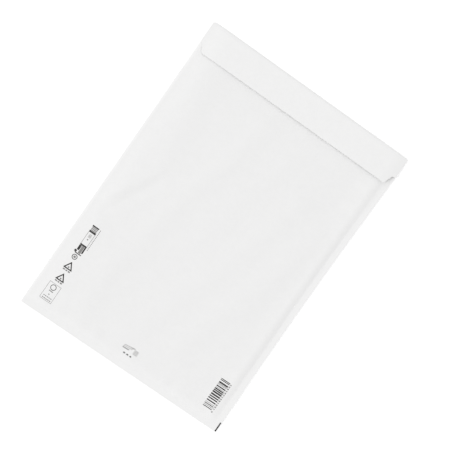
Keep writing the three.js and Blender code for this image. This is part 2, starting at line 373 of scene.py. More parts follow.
@dataclass(frozen=True)
class FlapOutline:
    """Cut ends of the flap: full width to the shoulder, then narrowing to the free edge."""

    shoulder_depth: float = 30 * MM
    shoulder_notch: float = 6.2 * MM
    notch_round: float = 2.6 * MM
    seam_end_taper: float = 11.2 * MM
    fold_end_taper: float = 8 * MM
    corner_radius: float = 4.5 * MM
    notch_steps: int = 5
    side_steps: int = 5
    corner_steps: int = 6

    def rows(self, form: EnvelopeForm, step: float) -> list[tuple[float, float, float]]:
        """Gives the flap's ends at a number of depths.

        Args:
            form: The envelope that the flap belongs to.
            step: Distance between the rows above the shoulder.

        Returns:
            Each row's depth, its end at the folded side and its end at the seam.
        """
        count = max(2, round((self.shoulder_depth - form.crease_radius) / step))
        depths = np.linspace(form.crease_radius, self.shoulder_depth, count + 1)[1:]
        rows = [(float(depth), form.left, form.right) for depth in depths]
        tip = form.flap_depth - self.corner_radius
        notched = self.shoulder_depth + self.notch_round

        def fold_end(depth: float) -> float:
            share = (depth - self.shoulder_depth) / (tip - self.shoulder_depth)
            return form.left + self.fold_end_taper * share

        def seam_end(depth: float) -> float:
            share = (depth - notched) / (form.flap_depth - notched)
            step_in = self.shoulder_notch + (self.seam_end_taper - self.shoulder_notch) * share
            return form.right - step_in

        for angle in np.linspace(0, math.pi / 2, self.notch_steps + 1)[1:]:
            depth = self.shoulder_depth + self.notch_round * (1 - math.cos(angle))
            inset = self.shoulder_notch * math.sin(angle)
            rows.append((depth, fold_end(depth), form.right - inset))
        for depth in np.linspace(notched, tip, self.side_steps + 1)[1:]:
            rows.append((float(depth), fold_end(depth), seam_end(depth)))
        for angle in np.linspace(0, math.pi / 2, self.corner_steps + 1)[1:]:
            depth = tip + self.corner_radius * math.sin(angle)
            inset = self.fold_end_taper + self.corner_radius * (1 - math.cos(angle))
            rows.append((depth, form.left + inset, seam_end(depth)))
        return rows


class Wire:
    """A shader value that Python's operators combine, each one adding the Math node that it stands for."""

    def __init__(self, shader: Shader, socket: bpy.types.NodeSocket) -> None:
        """Wraps a socket of a shader's tree."""
        self.shader = shader
        self.socket = socket

    def _math(self, operation: str, first: Wire | float, second: Wire | float) -> Wire:
        """Adds one Math node.

        Args:
            operation: Name of the node's operation.
            first: Its first value.
            second: Its second value.

        Returns:
            The result.
        """
        node = self.shader.node("ShaderNodeMath", {"operation": operation}, {0: first, 1: second})
        return Wire(self.shader, node.outputs[0])

    def __add__(self, other: Wire | float) -> Wire:
        """Adds."""
        return self._math("ADD", self, other)

    def __sub__(self, other: Wire | float) -> Wire:
        """Subtracts."""
        return self._math("SUBTRACT", self, other)

    def __mul__(self, other: Wire | float) -> Wire:
        """Multiplies."""
        return self._math("MULTIPLY", self, other)

    def larger(self, other: Wire | float) -> Wire:
        """Takes the larger of two values."""
        return self._math("MAXIMUM", self, other)


class Shader:
    """Node tree of one material or of the world."""

    def __init__(self, tree: bpy.types.NodeTree) -> None:
        """Empties the tree and keeps it.

        Args:
            tree: The tree to fill.
        """
        self.tree = tree
        self.tree.nodes.clear()

    @classmethod
    def material(cls, name: str) -> tuple[bpy.types.Material, Shader]:
        """Makes a material.

        Args:
            name: Its name.

        Returns:
            The material and its empty tree.
        """
        material = bpy.data.materials.new(name)
        material.use_nodes = True
        return material, cls(material.node_tree)

    def node(self, kind: str, settings: dict[str, Any], inputs: dict[str | int, Any]) -> bpy.types.Node:
        """Adds a node.

        Args:
            kind: Blender's name for the node type.
            settings: Properties that are set first.
            inputs: Values or links, by socket name or number.

        Returns:
            The node.
        """
        node = self.tree.nodes.new(kind)
        for name, value in settings.items():
            setattr(node, name, value)
        for name, value in inputs.items():
            if isinstance(value, Wire):
                self.tree.links.new(value.socket, node.inputs[name])
            else:
                node.inputs[name].default_value = value
        return node

    def wire(self, node: bpy.types.Node, output: str | int = 0) -> Wire:
        """Wraps one output of a node."""
        return Wire(self, node.outputs[output])

    def place(self) -> Wire:
        """Gives the place on the piece, in metres from the envelope's origin."""
        return self.wire(self.node("ShaderNodeTexCoord", {}, {}), "Object")

    def noise(self, size: float, detail: float = 3.0, stretch: Vector | None = None) -> Wire:
        """Gives a soft noise from 0 to 1.

        Args:
            size: Size of its patches, in metres.
            detail: How many finer noises lie on it.
            stretch: How much each axis is pressed together.

        Returns:
            The noise.
        """
        place = self.place()
        if stretch is not None:
            mapping = self.node("ShaderNodeMapping", {}, {"Vector": place, "Scale": stretch})
            place = self.wire(mapping)
        inputs = {"Vector": place, "Scale": 1.0 / size, "Detail": detail, "Roughness": NOISE_ROUGHNESS}
        return self.wire(self.node("ShaderNodeTexNoise", {}, inputs), 0)

    def along(self, axis: int, start: float, end: float) -> Wire:
        """Eases from 0 to 1 between two places along one axis of the piece.

        Args:
            axis: 0 for across the envelope, 1 for along it.
            start: Where it is 0, in metres.
            end: Where it is 1, in metres.

        Returns:
            The share at each place.
        """
        axes = self.node("ShaderNodeSeparateXYZ", {}, {0: self.place()})
        inputs = {"Value": self.wire(axes, axis), "From Min": start, "From Max": end}
        return self.wire(self.node("ShaderNodeMapRange", {"interpolation_type": "SMOOTHSTEP"}, inputs))

    def blend(self, share: Wire, low: tuple[float, ...], high: tuple[float, ...]) -> Wire:
        """Mixes two colours.

        Args:
            share: How much of the second colour shows.
            low: The first colour.
            high: The second colour.

        Returns:
            The mixed colour.
        """
        settings = {"data_type": "RGBA", "clamp_factor": True}
        node = self.node("ShaderNodeMix", settings, {0: share, 6: low, 7: high})
        return self.wire(node, 2)

    def bump(self, height: Wire, depth: float, strength: float = 1.0) -> Wire:
        """Turns a height into a normal.

        Args:
            height: Height from 0 to 1.
            depth: Real depth of the relief, in metres.
            strength: How much of it shows.

        Returns:
            The normal.
        """
        inputs = {"Strength": strength, "Distance": depth, "Height": height}
        return self.wire(self.node("ShaderNodeBump", {}, inputs))

    def seen(self) -> Wire:
        """Gives 1 to the rays of the camera, of mirrors and of clear film, and 0 to the light's own."""
        rays = self.node("ShaderNodeLightPath", {}, {})
        seen = self.wire(rays, "Is Camera Ray").larger(self.wire(rays, "Is Glossy Ray"))
        return seen.larger(self.wire(rays, "Is Transmission Ray"))

    def surface(self, inputs: dict[str | int, Any]) -> None:
        """Ends the tree in one principled surface with these inputs."""
        shader = self.node("ShaderNodeBsdfPrincipled", {}, inputs)
        self.node("ShaderNodeOutputMaterial", {}, {"Surface": self.wire(shader)})


def grey(level: float, warmth: float = 0.0) -> tuple[float, float, float, float]:
    """Gives a near-neutral colour.

    Args:
        level: Its linear brightness.
        warmth: How much less blue than red it has.

    Returns:
        The colour, opaque.
    """
    return (level, level * (1 - warmth / 2), level * (1 - warmth), 1.0)


@dataclass(frozen=True)
class PaperFinish:
    """Uncoated white paper: faintly cloudy, with fine fibres, and with painted light: lighter towards the
    seam, the folded side, the bottom strip and over the flap, for light shining through the thin paper.
    """

    name: str = "white_kraft_paper"
    light: float = 0.899
    dark: float = 0.821
    warmth: float = 0.003
    cloud_size: float = 12 * MM
    patch_size: float = 4 * MM
    fibre_size: float = 0.55 * MM
    fleck_size: float = 1.6 * MM
    fibre_stretch: tuple[float, float, float] = (1.0, 0.45, 1.0)
    fibre_relief: float = 0.7
    fleck_relief: float = 0.3
    relief: float = 0.035 * MM
    relief_strength: float = 0.55
    roughness: float = 0.82
    roughness_gain: float = 0.14
    specular: float = 0.25
    cloud_share: float = 0.34
    patch_share: float = 0.33
    fibre_share: float = 0.33
    # Painted light: these bands lighten the paper colour at the seam side, the folded side, the bottom strip
    # and the flap, standing in for light shining through the thin paper there.
    painted_light_gain: float = 0.24
    painted_light_bands: tuple[tuple[int, float, float], ...] = (
        (0, 105 * MM, 145 * MM),
        (0, -138 * MM, -152 * MM),
        (1, -208 * MM, -220 * MM),
        (1, 174 * MM, 186 * MM),
    )

    def build(self) -> bpy.types.Material:
        """Makes the material."""
        material, shader = Shader.material(self.name)
        clouds = shader.noise(self.cloud_size, 2.0)
        patches = shader.noise(self.patch_size, 2.0)
        fibres = shader.noise(self.fibre_size, 5.0, Vector(self.fibre_stretch))
        flecks = shader.noise(self.fleck_size, 2.0)
        # Painted light: a mask that lightens the paper colour in the edge and flap bands.
        painted_light_mask = shader.along(*self.painted_light_bands[0])
        for band in self.painted_light_bands[1:]:
            painted_light_mask = painted_light_mask.larger(shader.along(*band))
        share = clouds * self.cloud_share + patches * self.patch_share + fibres * self.fibre_share
        share = share + painted_light_mask * self.painted_light_gain
        tone = shader.blend(share, grey(self.dark, self.warmth), grey(self.light, self.warmth))
        relief = fibres * self.fibre_relief + flecks * self.fleck_relief
        shader.surface({
            "Base Color": tone,
            "Roughness": fibres * self.roughness_gain + self.roughness,
            "Normal": shader.bump(relief, self.relief, self.relief_strength),
            "Specular IOR Level": self.specular,
        })
        return material


@dataclass(frozen=True)
class FilmFinish:
    """Clear polyethylene bubble film, hazy and softly glossy."""

    name: str = "bubble_film"
    tone: tuple[float, float, float, float] = (0.86, 0.89, 0.9, 1.0)
    haze_size: float = 14 * MM
    haze_gain: float = 0.2
    wrinkle_size: float = 2.2 * MM
    wrinkle_depth: float = 0.08 * MM
    wrinkle_strength: float = 0.5
    roughness: float = 0.16
    cover: float = 0.42
    ior: float = 1.51

    def build(self) -> bpy.types.Material:
        """Makes the material."""
        material, shader = Shader.material(self.name)
        haze = shader.noise(self.haze_size)
        wrinkles = shader.noise(self.wrinkle_size, 4.0)
        shader.surface({
            "Base Color": self.tone,
            "Roughness": haze * self.haze_gain + self.roughness,
            "Alpha": haze * self.haze_gain + self.cover,
            "IOR": self.ior,
            "Normal": shader.bump(wrinkles, self.wrinkle_depth, self.wrinkle_strength),
        })
        return material


@dataclass(frozen=True)
class GlueFinish:
    """Hot-melt adhesive, amber, tacky and uneven from the nozzle."""

    name: str = "hot_melt"
    pale: tuple[float, float, float, float] = (0.84, 0.74, 0.5, 1.0)
    deep: tuple[float, float, float, float] = (0.72, 0.58, 0.34, 1.0)
    streak_size: float = 1.2 * MM
    streak_stretch: tuple[float, float, float] = (0.08, 1.0, 1.0)
    streak_depth: float = 0.12 * MM
    streak_strength: float = 0.6
    roughness: float = 0.22
    roughness_gain: float = 0.2

    def build(self) -> bpy.types.Material:
        """Makes the material."""
        material, shader = Shader.material(self.name)
        streaks = shader.noise(self.streak_size, 3.0, Vector(self.streak_stretch))
        shader.surface({
            "Base Color": shader.blend(streaks, self.pale, self.deep),
            "Roughness": streaks * self.roughness_gain + self.roughness,
            "Normal": shader.bump(streaks, self.streak_depth, self.streak_strength),
        })
        return material


@dataclass(frozen=True)
class ReleaseFinish:
    """Silicone-coated release paper, smooth, with a slight sheen and faint slitting lines."""

    name: str = "silicone_paper"
    pale: tuple[float, float, float, float] = (0.9, 0.885, 0.83, 1.0)
    deep: tuple[float, float, float, float] = (0.86, 0.84, 0.78, 1.0)
    line_size: float = 0.9 * MM
    line_stretch: tuple[float, float, float] = (0.03, 1.0, 1.0)
    line_depth: float = 0.03 * MM
    line_strength: float = 0.5
    cloud_size: float = 9 * MM
    roughness: float = 0.3
    roughness_gain: float = 0.16

    def build(self) -> bpy.types.Material:
        """Makes the material."""
        material, shader = Shader.material(self.name)
        lines = shader.noise(self.line_size, 2.0, Vector(self.line_stretch))
        clouds = shader.noise(self.cloud_size)
        shader.surface({
            "Base Color": shader.blend(clouds, self.deep, self.pale),
            "Roughness": lines * self.roughness_gain + self.roughness,
            "Normal": shader.bump(lines, self.line_depth, self.line_strength),
        })
        return material


@dataclass(frozen=True)
class InkFinish:
    """Dark printing ink on uncoated paper, a little starved where the fibres stand up."""

    name: str = "printing_ink"
    full: tuple[float, float, float, float] = (0.012, 0.011, 0.01, 1.0)
    thin: tuple[float, float, float, float] = (0.055, 0.051, 0.049, 1.0)
    grain_size: float = 0.5 * MM
    grain_depth: float = 0.02 * MM
    grain_strength: float = 0.5
    wear_gain: float = 1.6
    wear_start: float = 0.45
    roughness: float = 0.6
    roughness_gain: float = 0.15

    def build(self) -> bpy.types.Material:
        """Makes the material."""
        material, shader = Shader.material(self.name)
        grain = shader.noise(self.grain_size, 4.0)
        worn = grain * self.wear_gain - self.wear_start
        shader.surface({
            "Base Color": shader.blend(worn, self.full, self.thin),
            "Roughness": grain * self.roughness_gain + self.roughness,
            "Normal": shader.bump(grain, self.grain_depth, self.grain_strength),
        })
        return material


def take_only(piece: bpy.types.Object) -> None:
    """Makes one object the active and only selected one."""
    bpy.ops.object.select_all(action="DESELECT")
    piece.select_set(True)
    bpy.context.view_layer.objects.active = piece


def add_grid(name: str, columns: int, rows: int) -> bpy.types.Object:
    """Adds a flat sheet of square cells, one unit wide, to be cut and folded.

    Args:
        name: The new piece's name.
        columns: Cells across it.
        rows: Cells along it.

    Returns:
        The sheet.
    """
    bpy.ops.object.select_all(action="DESELECT")
    bpy.ops.mesh.primitive_grid_add(x_subdivisions=columns, y_subdivisions=rows, size=1.0)
    sheet = bpy.context.active_object
    sheet.name = name
    sheet.data.name = name
    return sheet


def read_places(piece: bpy.types.Object) -> Array:
    """Reads the places of a piece's vertices."""
    places = np.empty(len(piece.data.vertices) * 3)
    piece.data.vertices.foreach_get("co", places)
    return places.reshape(-1, 3)


def write_places(piece: bpy.types.Object, places: Array) -> None:
    """Moves a piece's vertices to new places."""
    piece.data.vertices.foreach_set("co", np.ascontiguousarray(places, dtype=np.float32).ravel())
    piece.data.update()


def grid_numbers(piece: bpy.types.Object, columns: int, rows: int) -> tuple[Array, Array]:
    """Gives each vertex's column and row in a sheet that add_grid made.

    Args:
        piece: The sheet, still flat and one unit wide.
        columns: Cells across it.
        rows: Cells along it.

    Returns:
        The column numbers and the row numbers.
    """
    places = read_places(piece)
    column = np.rint((places[:, 0] + 0.5) * columns).astype(int)
    row = np.rint((places[:, 1] + 0.5) * rows).astype(int)
    return column, row


def apply_modifier(piece: bpy.types.Object, kind: str, **settings: Any) -> None:
    """Adds a modifier with these settings and applies it.

    Args:
        piece: The piece to change.
        kind: Blender's name for the modifier type.
        **settings: The modifier's properties.
    """
    take_only(piece)
    modifier = piece.modifiers.new(kind.lower(), kind)
    for name, value in settings.items():
        setattr(modifier, name, value)
    bpy.ops.object.modifier_apply(modifier=modifier.name)


def turn_faces(piece: bpy.types.Object) -> None:
    """Turns all faces of a piece to look the other way."""
    take_only(piece)
    bpy.ops.object.mode_set(mode="EDIT")
    bpy.ops.mesh.select_all(action="SELECT")
    bpy.ops.mesh.flip_normals()
    bpy.ops.object.mode_set(mode="OBJECT")


def thicken(piece: bpy.types.Object, thickness: float, outward: Vector) -> None:
    """Gives a sheet its thickness, on the side away from its outer face.

    Args:
        piece: The open sheet.
        thickness: Thickness of the material.
        outward: Way that the first face has to look for its outer side to be outside.
    """
    if piece.data.polygons[0].normal.dot(outward) < 0:
        turn_faces(piece)
    apply_modifier(piece, "SOLIDIFY", thickness=thickness, offset=-1.0, use_even_offset=True)


def finish_piece(
    piece: bpy.types.Object, material: bpy.types.Material, slot: Slot | None, *nodes: str
) -> bpy.types.Object:
    """Smooths and dresses a finished piece and lets it ride on the envelope.

    Args:
        piece: The piece, with its place in its mesh.
        material: Its material.
        slot: Not used; the record's slot that the piece stands for, or None for print.
        *nodes: Solids of the frame that it stands for.

    Returns:
        The same piece.
    """
    take_only(piece)
    bpy.ops.object.shade_smooth_by_angle(angle=SMOOTH_ANGLE)
    piece.data.materials.clear()
    piece.data.materials.append(material)
    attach(piece, "root")
    if nodes:
        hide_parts(*nodes)
    log.info("%s: %d faces", piece.name, len(piece.data.polygons))
    return piece


@dataclass
class PaperEnvelope:
    """The outer envelope: one paper blank, cut with its flap, then folded and sealed."""

    form: EnvelopeForm
    outline: FlapOutline
    front_step: float = 2.3 * MM
    back_step: float = 5 * MM
    row_step: float = 2.5 * MM
    flap_step: float = 2.5 * MM
    turn_steps: int = 14
    strip_steps: int = 4
    slope_steps: int = 8
    flap_wave: float = 0.16 * MM
    flap_wave_pitch: float = 2 * math.pi / 47
    back_stations: Array = field(init=False)
    turn_angles: Array = field(init=False)
    front_stations: Array = field(init=False)
    panel_rows: Array = field(init=False)

    def __post_init__(self) -> None:
        """Works out where the blank's columns and rows go."""
        form = self.form
        strip = np.linspace(form.right, form.seam_line, self.strip_steps + 1)
        slope = np.linspace(form.seam_line, form.full_pad_x, self.slope_steps + 1)[1:]
        back_count = round((form.full_pad_x - form.fold_line) / self.back_step)
        front_count = round((form.full_pad_x - form.fold_line) / self.front_step)
        back = np.linspace(form.full_pad_x, form.fold_line, back_count + 1)[1:]
        front = np.linspace(form.full_pad_x, form.fold_line, front_count + 1)[1:]
        self.back_stations = np.concatenate([strip, slope, back])
        self.front_stations = np.concatenate([strip, slope, front])[::-1]
        self.turn_angles = np.linspace(0, math.pi, self.turn_steps + 1)[1:-1]
        weld = np.linspace(form.bottom, form.weld_line, self.strip_steps + 1)
        row_count = round((form.mouth - form.weld_line) / self.row_step)
        body = np.linspace(form.weld_line, form.mouth, row_count + 1)[1:]
        self.panel_rows = np.concatenate([weld, body])

    def flap_rows(self) -> list[tuple[float, float, float]]:
        """Gives the rows below the crease, each with its depth and its two ends."""
        return self.outline.rows(self.form, self.flap_step)

    def cut_blank(self) -> tuple[bpy.types.Object, Array, Array]:
        """Cuts the flat blank: both panels with the turn between them, and the flap above the back.

        Returns:
            The blank, and the column and row number of each of its vertices.
        """
        columns = len(self.back_stations) + len(self.turn_angles) + len(self.front_stations) - 1
        rows = len(self.panel_rows) + self.turn_steps + len(self.flap_rows()) - 1
        blank = add_grid("envelope_paper", columns, rows)
        column, row = grid_numbers(blank, columns, rows)
        off_cut = (column >= len(self.back_stations)) & (row >= len(self.panel_rows))
        bpy.ops.object.mode_set(mode="EDIT")
        bpy.ops.mesh.select_mode(type="VERT")
        bpy.ops.mesh.select_all(action="DESELECT")
        bpy.ops.object.mode_set(mode="OBJECT")
        blank.data.vertices.foreach_set("select", off_cut)
        bpy.ops.object.mode_set(mode="EDIT")
        bpy.ops.mesh.delete(type="VERT")
        bpy.ops.object.mode_set(mode="OBJECT")
        column, row = grid_numbers(blank, columns, rows)
        return blank, column, row

    def panel_places(self, column: Array, row: Array) -> Array:
        """Folds the two panels and the turn between them.

        Args:
            column: Column number of each vertex.
            row: Row number of each vertex.

        Returns:
            The places of the vertices.
        """
        form = self.form
        backs, turns = len(self.back_stations), len(self.turn_angles)
        stations = np.concatenate([
            self.back_stations, np.full(turns, form.fold_line), self.front_stations,
        ])
        angles = np.concatenate([
            np.zeros(backs), self.turn_angles, np.full(len(self.front_stations), math.pi),
        ])
        x = stations[column]
        y = self.panel_rows[row]
        heights = form.heights(x, y)
        middle = (heights["back"] + heights["front"]) / 2
        half = (heights["front"] - heights["back"]) / 2
        places = np.stack([
            form.pulled(x, y) - form.fold_radius * np.sin(angles[column]),
            y,
            middle - half * np.cos(angles[column]),
        ], axis=1)
        return places

    def flap_places(self, start: float, end: float) -> Array:
        """Spreads the back panel's columns between the flap's two ends at one row."""
        form = self.form
        x = self.back_stations.copy()
        inner_fold = form.fold_line + form.fold_run
        seam_side = x > form.full_pad_x
        fold_side = x < inner_fold
        seam_share = (x - form.full_pad_x) / (form.right - form.full_pad_x)
        fold_share = (x - inner_fold) / (form.fold_line - inner_fold)
        x = np.where(seam_side, form.full_pad_x + (end - form.full_pad_x) * seam_share, x)
        return np.where(fold_side, inner_fold + (start - inner_fold) * fold_share, x)

    def folded_flap(self) -> Array:
        """Folds the flap over the crease.

        Returns:
            The places of the flap's vertices, by row above the mouth and by column.
        """
        form = self.form
        rows = []
        for angle in np.linspace(-math.pi / 2, math.pi / 2, self.turn_steps + 1)[1:]:
            start = form.left + form.fold_radius * (1 - max(0.0, math.sin(angle)))
            x = self.flap_places(start, form.right)
            low = form.heights(x, np.full_like(x, form.mouth))["back"]
            high = form.flap_under(x, form.crease_radius) + form.paper
            y = np.full_like(x, form.mouth + form.crease_radius * math.cos(angle))
            rows.append(np.stack([x, y, (low + high) / 2 + (high - low) / 2 * math.sin(angle)], axis=1))
        for depth, start, end in self.flap_rows():
            x = self.flap_places(start, end)
            y = np.full_like(x, form.top - depth)
            share = self.flap_wave * float(smooth(depth / form.flap_depth))
            wave = waves(x, self.flap_wave_pitch, ((share, 1.0, 0.6),))
            rows.append(np.stack([x, y, form.flap_under(x, depth) + form.paper + wave], axis=1))
        return np.stack(rows)

    def build(self, material: bpy.types.Material) -> bpy.types.Object:
        """Cuts, folds and dresses the paper.

        Args:
            material: The paper's material.

        Returns:
            The finished envelope.
        """
        blank, column, row = self.cut_blank()
        places = np.empty((len(column), 3))
        on_panels = row < len(self.panel_rows)
        places[on_panels] = self.panel_places(column[on_panels], row[on_panels])
        flap = self.folded_flap()
        places[~on_panels] = flap[row[~on_panels] - len(self.panel_rows), column[~on_panels]]
        write_places(blank, places)
        thicken(blank, self.form.paper, Vector((0, 0, -1)))
        places = read_places(blank)
        places[:, 0] = np.clip(places[:, 0], self.form.left, self.form.right)
        write_places(blank, places)
        return finish_piece(blank, material, Slot.PAPER, "paper_envelope")


@dataclass
class BubbleLiner:
    """The padding: bubble film folded inside the paper, its bubbles towards the paper."""

    form: EnvelopeForm
    pitch: float = 11.5 * MM
    bubble_radius: float = 4.9 * MM
    film_step: float = 8 * MM
    slope_steps: int = 4
    extra_rows: int = 11
    turn_steps: int = 8
    segments: int = 8
    rings: int = 6

    def fold_film(self) -> bpy.types.Object:
        """Makes the smooth inner film, folded at the side and flat in the two strips."""
        form = self.form
        count = round((form.seam_line - form.fold_line) / self.film_step)
        slope = np.linspace(form.seam_line, form.full_pad_x, self.slope_steps + 1)
        inner = np.linspace(form.full_pad_x, form.fold_line, count)[1:]
        under = np.concatenate([[form.right], slope, inner])
        turn = np.linspace(0, math.pi, self.turn_steps + 1)[1:-1]
        x_all = np.concatenate([under, np.full(len(turn), form.fold_line), under[::-1]])
        angles = np.concatenate([np.zeros(len(under)), turn, np.full(len(under), math.pi)])
        rows = np.concatenate([
            [form.bottom],
            np.linspace(form.weld_line, form.weld_line + form.pad_rise, self.slope_steps + 1),
            np.linspace(form.weld_line + form.pad_rise, form.mouth, count + self.extra_rows + 1)[1:],
        ])
        columns = len(x_all) - 1
        film = add_grid("bubble_film", columns, len(rows) - 1)
        column, row = grid_numbers(film, columns, len(rows) - 1)
        x, y, angle = x_all[column], rows[row], angles[column]
        heights = form.heights(x, y)
        middle = (heights["floor"] + heights["roof"]) / 2
        half = (heights["roof"] - heights["floor"]) / 2
        reach = form.fold_radius - form.paper - form.liner_clearance
        across = form.pulled(x, y) - reach * np.sin(angle)
        write_places(film, np.stack([across, y, middle - half * np.cos(angle)], axis=1))
        thicken(film, form.film, Vector((0, 0, -1)))
        return film

    def one_bubble(self, name: str) -> bpy.types.Object:
        """Models one closed bubble of full height, its flat side on the film."""
        bpy.ops.object.select_all(action="DESELECT")
        bpy.ops.mesh.primitive_uv_sphere_add(
            segments=self.segments, ring_count=self.rings, radius=self.bubble_radius
        )
        bubble = bpy.context.active_object
        bubble.name = name
        bpy.ops.object.mode_set(mode="EDIT")
        bpy.ops.mesh.select_all(action="SELECT")
        bpy.ops.mesh.bisect(plane_co=(0, 0, 0), plane_no=(0, 0, 1), clear_inner=True, use_fill=True)
        bpy.ops.mesh.select_all(action="SELECT")
        squash = self.form.bubble_height / self.bubble_radius
        bpy.ops.transform.resize(value=(1, 1, squash), center_override=(0, 0, 0))
        bpy.ops.object.mode_set(mode="OBJECT")
        return bubble

    def bubble_rows(self, name: str, odd: bool) -> bpy.types.Object:
        """Copies the bubble over every second row of the honeycomb.

        Args:
            name: The new piece's name.
            odd: Whether the rows are the ones between, half a pitch aside.

        Returns:
            The bubbles on a flat field.
        """
        form = self.form
        margin = self.bubble_radius
        row_pitch = self.pitch * math.sqrt(3) / 2
        start_x = form.fold_line + margin + (self.pitch / 2 if odd else 0.0)
        start_y = form.weld_line + margin + (row_pitch if odd else 0.0)
        across = int((form.seam_line - margin - start_x) / self.pitch) + 1
        along = int((form.mouth - margin - start_y) / (2 * row_pitch)) + 1
        bubbles = self.one_bubble(name)
        for count, offset in ((across, (self.pitch, 0, 0)), (along, (0, 2 * row_pitch, 0))):
            apply_modifier(
                bubbles, "ARRAY", count=count, use_relative_offset=False,
                use_constant_offset=True, constant_offset_displace=offset,
            )
        places = read_places(bubbles)
        places[:, 0] += start_x
        places[:, 1] += start_y
        write_places(bubbles, places)
        return bubbles

    def seat(self, bubbles: bpy.types.Object, on_front: bool) -> None:
        """Sets a flat field of bubbles on the film.

        Args:
            bubbles: The field.
            on_front: Whether it lies over the pocket, and not under it.
        """
        form = self.form
        places = read_places(bubbles)
        x, y = places[:, 0].copy(), places[:, 1].copy()
        heights = form.heights(x, y)
        tall = places[:, 2] * form.padding(x, y)
        if on_front:
            places[:, 2] = heights["roof"] + form.film / 2 + tall
        else:
            places[:, 2] = heights["floor"] - form.film / 2 - tall
        places[:, 0] = form.pulled(x, y)
        write_places(bubbles, places)
        if not on_front:
            turn_faces(bubbles)

    def build(self, material: bpy.types.Material) -> bpy.types.Object:
        """Makes the whole liner.

        Args:
            material: The film's material.

        Returns:
            The finished liner.
        """
        film = self.fold_film()
        fields = []
        for on_front in (False, True):
            for odd in (False, True):
                bubbles = self.bubble_rows("bubbles", odd)
                self.seat(bubbles, on_front)
                fields.append(bubbles)
        bpy.ops.object.select_all(action="DESELECT")
        for bubbles in fields:
            bubbles.select_set(True)
        film.select_set(True)
        bpy.context.view_layer.objects.active = film
        bpy.ops.object.join()
        return finish_piece(film, material, Slot.FILM, "bubble_liner")


@dataclass
class ClosingStrip:
    """One long strip on the flap's under side: the adhesive, or the release paper over it."""

    form: EnvelopeForm
    name: str
    node: str
    gap_above: float
    thickness: float
    slot: Slot
    columns: int = 96
    rows: int = 8

    def build(self, material: bpy.types.Material) -> bpy.types.Object:
        """Lays the strip along the flap, as long and wide as the frame's solid.

        Args:
            material: The strip's material.

        Returns:
            The finished strip.
        """
        low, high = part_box(self.node)
        strip = add_grid(self.name, self.columns, self.rows)
        places = read_places(strip)
        x = low.x + (places[:, 0] + 0.5) * (high.x - low.x)
        y = low.y + (places[:, 1] + 0.5) * (high.y - low.y)
        z = self.form.flap_under(x, self.form.top - y) - self.gap_above
        write_places(strip, np.stack([x, y, z], axis=1))
        thicken(strip, self.thickness, Vector((0, 0, 1)))
        return finish_piece(strip, material, self.slot, self.node)


@dataclass(frozen=True)
class Bars:
    """A printed bar, or a run of equal ones at even steps. Sizes are in millimetres, the turn in degrees."""

    x: float
    y: float
    wide: float
    tall: float
    count: int = 1
    step_x: float = 0.0
    step_y: float = 0.0
    turn: float = 0.0
    cell: float = 2.5

    def draw(self) -> list[bpy.types.Object]:
        """Draws the flat bars, in cells small enough to follow the front panel."""
        shapes = []
        angle = math.radians(self.turn)
        for number in range(self.count):
            columns = max(1, round(self.wide / self.cell))
            rows = max(1, round(self.tall / self.cell))
            shape = add_grid("mark", columns, rows)
            places = read_places(shape) * [self.wide * MM, self.tall * MM, 1.0]
            across = places[:, 0] * math.cos(angle) - places[:, 1] * math.sin(angle)
            along = places[:, 0] * math.sin(angle) + places[:, 1] * math.cos(angle)
            across += (self.x + number * self.step_x) * MM
            along += (self.y + number * self.step_y) * MM
            write_places(shape, np.stack([across, along, places[:, 2]], axis=1))
            shapes.append(shape)
        return shapes


@dataclass(frozen=True)
class Disc:
    """A printed disc or regular polygon, filled or as a line. All sizes are in millimetres."""

    x: float
    y: float
    radius: float
    corners: int = 40
    line: float = 0.0
    cell: float = 2.5

    def draw(self) -> list[bpy.types.Object]:
        """Draws the flat shape, and cuts the long sides of a line so that it follows the front panel."""
        bpy.ops.object.select_all(action="DESELECT")
        bpy.ops.mesh.primitive_circle_add(
            vertices=self.corners, radius=self.radius * MM, fill_type="NGON"
        )
        shape = bpy.context.active_object
        shape.data.transform(Matrix.Translation((self.x * MM, self.y * MM, 0)))
        if self.line:
            side = 2 * self.radius * math.sin(math.pi / self.corners)
            bpy.ops.object.mode_set(mode="EDIT")
            bpy.ops.mesh.select_all(action="SELECT")
            bpy.ops.mesh.inset(thickness=self.line * MM)
            bpy.ops.mesh.delete(type="FACE")
            if side > self.cell:
                bpy.ops.mesh.select_all(action="SELECT")
                bpy.ops.mesh.subdivide(number_cuts=math.ceil(side / self.cell))
            bpy.ops.object.mode_set(mode="OBJECT")
        return [shape]


@dataclass(frozen=True)
class Mark:
    """One printed mark: its shapes in dark ink, and those in the grey tint."""

    name: str
    dark: tuple[Bars | Disc, ...]
    tint: tuple[Bars | Disc, ...] = ()


def triangle_mark(name: str, y: float) -> Mark:
    """Describes a plain outlined triangle with a dot in it and short dashes under it.

    Args:
        name: The mark's name.
        y: Its middle along the envelope, in millimetres.

    Returns:
        The mark.
    """
    x = -132.8
    dashes = tuple(Bars(x + shift, y - 6.3, long, 1.9) for shift, long in ((-4, 3.2), (0, 2.6), (4, 3.0)))
    return Mark(name, (Disc(x, y - 0.3, 7.9, 3, 1.6),), (Disc(x, y - 0.9, 1.2, 20), *dashes))


def barcode_mark(name: str) -> Mark:
    """Describes a made-up code: rules of several widths, with a row of ticks beside them."""
    x, top, wide, tall = 129.8, -159.5, 14.4, 45.4
    modules = 74
    module = tall / modules
    ink_loss = 0.22
    rules = []
    place = 0
    number = 5
    while place < modules:
        number = (number * 29 + 17) % 101
        rule = min(1 + number % 4, modules - place)
        rules.append(Bars(x, top - (place + rule / 2) * module, wide, (rule - ink_loss) * module))
        place += rule + 1 + (number // 4) % 3
    tick_x = x + wide / 2 + 2.0
    rules.append(Bars(tick_x, top - tall - 1.5, 1.6, 1.6))
    ticks = []
    for step in range(13):
        ticks.append(Bars(tick_x, top - (3 + step * 5.5) * module, 2.4, 2.2 if step % 3 else 1.5))
    return Mark(name, tuple(rules), tuple(ticks))


